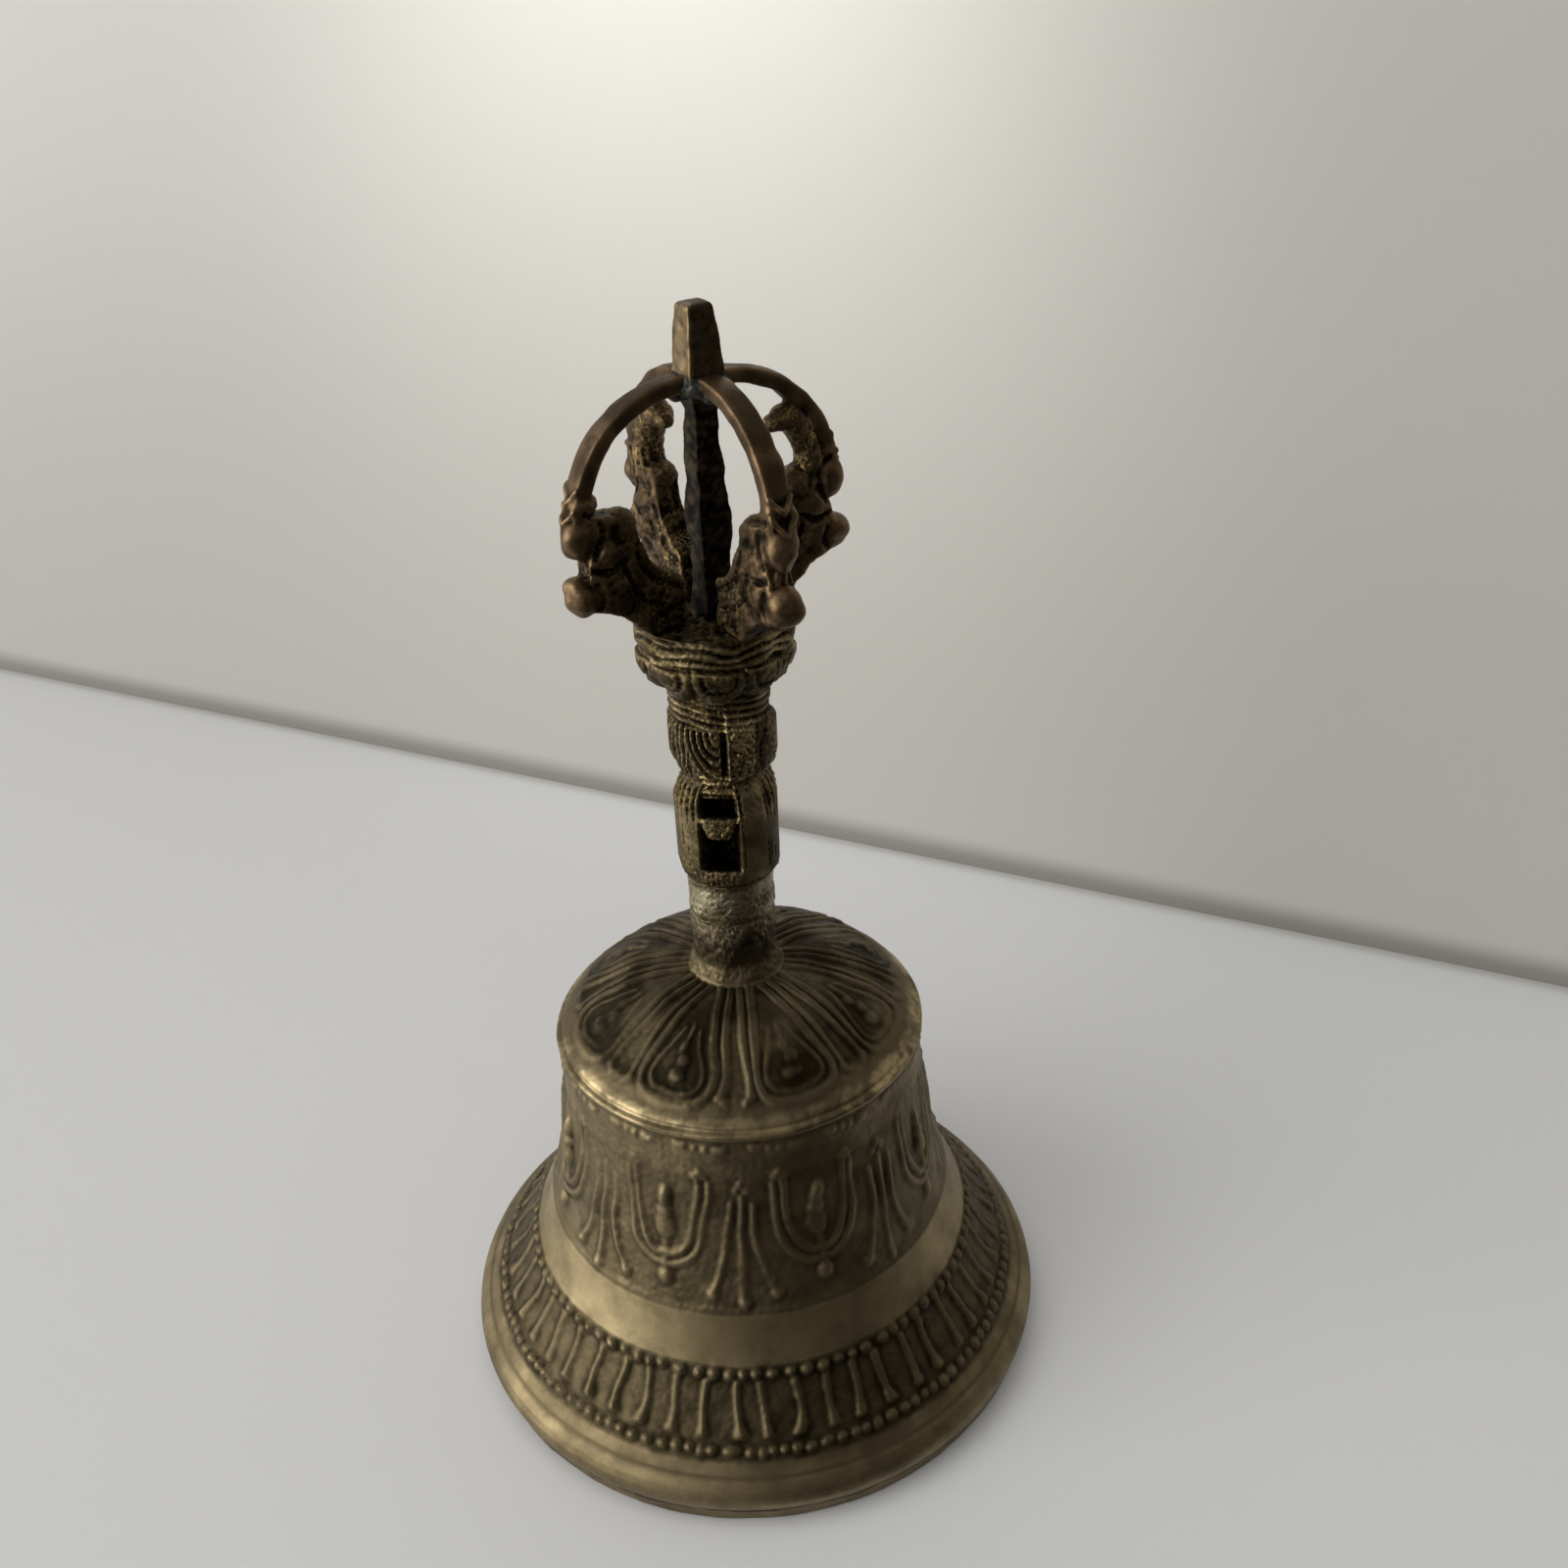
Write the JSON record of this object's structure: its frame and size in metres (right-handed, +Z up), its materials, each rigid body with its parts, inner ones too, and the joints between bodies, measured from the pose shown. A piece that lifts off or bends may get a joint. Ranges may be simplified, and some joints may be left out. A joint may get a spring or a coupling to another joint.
{
  "type": "tibetan hand bell",
  "caption": "Cast bronze hand bell with relief bands, a pierced brass handle topped by a closed half-vajra cage, and a hanging iron clapper.",
  "frame": {"origin": "centre of the mouth plane, which the bell stands on", "axes": "+Z up the bell's axis; the four prongs on +X, +Y, -X and -Y; the face on the handle looks between +X and -Y"},
  "size_m": [0.09, 0.09, 0.161],
  "materials": {
    "bell_bronze": "aged cast bell bronze, brown-olive patina, worn on bands and relief",
    "handle_brass": "rough cast brass, nearly black in the recesses, golden where worn",
    "prong_brass": "dark cast brass with filed reddish arms",
    "spike_brass": "dark brown filed brass",
    "tin_solder": "pitted grey tin solder",
    "hub_solder": "dull blue-grey solder",
    "forged_iron": "dark forged iron with brown rust in the hollows"
  },
  "bodies": {
    "bell": {"bell_body": "bell_bronze", "neck_solder": "tin_solder", "crown_tang": "forged_iron", "handle_grip": "handle_brass", "lotus_seat": "handle_brass", "prong_east": "prong_brass", "prong_north": "prong_brass", "prong_west": "prong_brass", "prong_south": "prong_brass", "central_spike": "spike_brass", "hub_solder": "hub_solder"},
    "link": {"clapper_link": "forged_iron"},
    "clapper": {"clapper_shaft": "forged_iron", "clapper_bob": "forged_iron"}
  },
  "joints": [
    {"name": "link_swing", "type": "hinge", "parent": "bell", "child": "link", "pos_m": [0, 0, 0.0564], "axis": [0, 1, 0], "range_deg": [-33, 33]},
    {"name": "clapper_swing", "type": "hinge", "parent": "link", "child": "clapper", "pos_m": [0, 0, 0.0506], "axis": [1, 0, 0], "range_deg": [-8, 8]}
  ]
}
